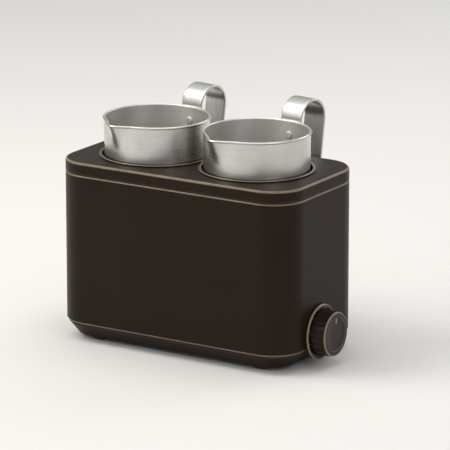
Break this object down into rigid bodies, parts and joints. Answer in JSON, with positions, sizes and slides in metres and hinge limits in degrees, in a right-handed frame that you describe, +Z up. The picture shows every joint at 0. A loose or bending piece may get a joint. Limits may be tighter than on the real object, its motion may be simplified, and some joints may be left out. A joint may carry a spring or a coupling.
{
  "type": "sake warmer",
  "caption": "Tabletop water-bath sake warmer: moulded housing, lift-off deck, metal warming cups with hook handles, and a thermostat dial on one end.",
  "frame": {"origin": "on the table, under the middle of the whole outline (housing, dial knob and handles)", "axes": "+Z up, +X along the length towards the dial knob, +Y towards the back, where the cups' handles hook over the deck"},
  "size_m": [0.204, 0.1189, 0.1709],
  "materials": {
    "black_plastic": "fine matt moulded grain",
    "black_gloss": "satin moulded",
    "black_rubber": "matt moulded",
    "silicone": "matt",
    "cup_aluminium": "satin anodised",
    "strap_aluminium": "satin anodised",
    "tank_steel": "deep drawn, satin",
    "plate_aluminium": "as cast",
    "zinc_steel": "zinc plated",
    "element_steel": "heat toned tube",
    "insulator": "unglazed",
    "insulation_brown": "soft insulation",
    "insulation_red": "soft insulation",
    "insulation_blue": "soft insulation",
    "insulation_green": "soft insulation"
  },
  "bodies": {
    "machine": {"base_cover": "black_plastic", "foot_front_left": "black_rubber", "foot_front_right": "black_rubber", "foot_rear_left": "black_rubber", "foot_rear_right": "black_rubber", "housing": "black_plastic", "tank": "tank_steel", "tank_gasket": "silicone", "tank_screws": "zinc_steel", "cup_stand": "tank_steel", "heater_plate": "plate_aluminium", "heater_element": "element_steel", "element_terminals": "insulator", "clamp_straps": "zinc_steel", "clamp_nuts": "zinc_steel", "heat_shield": "zinc_steel", "shield_nuts": "zinc_steel", "thermal_fuse": "insulator", "fuse_clip": "zinc_steel", "fuse_screws": "zinc_steel", "thermostat": "insulator", "thermostat_nut": "zinc_steel", "dial_ring": "black_gloss", "terminal_block": "insulator", "terminal_screws": "zinc_steel", "lead_supply": "insulation_brown", "lead_heater": "insulation_red", "lead_fuse_hot": "insulation_red", "lead_fuse_cold": "insulation_blue", "lead_earth": "insulation_green", "cord_gland": "black_rubber", "gland_nut": "black_rubber", "base_screws": "zinc_steel"},
    "deck": {"top_cover": "black_plastic", "ring_left": "black_gloss", "ring_right": "black_gloss"},
    "left_cup": {"cup_left": "cup_aluminium", "handle_left": "strap_aluminium", "rivets_left": "strap_aluminium"},
    "right_cup": {"cup_right": "cup_aluminium", "handle_right": "strap_aluminium", "rivets_right": "strap_aluminium"},
    "dial": {"knob": "black_gloss", "dial_shaft": "zinc_steel"}
  },
  "joints": [
    {"name": "cover_lift", "type": "slide", "parent": "machine", "child": "deck", "axis": [0, 0, 1], "range_m": [0, 0.1]},
    {"name": "cup_left_lift", "type": "slide", "parent": "deck", "child": "left_cup", "axis": [0, 0, 1], "range_m": [0, 0.13]},
    {"name": "cup_right_lift", "type": "slide", "parent": "deck", "child": "right_cup", "axis": [0, 0, 1], "range_m": [0, 0.13]},
    {"name": "dial_turn", "type": "hinge", "parent": "machine", "child": "dial", "pos_m": [0.09, -0.01396, 0.023], "axis": [-1, 0, 0], "range_deg": [0, 270]}
  ]
}
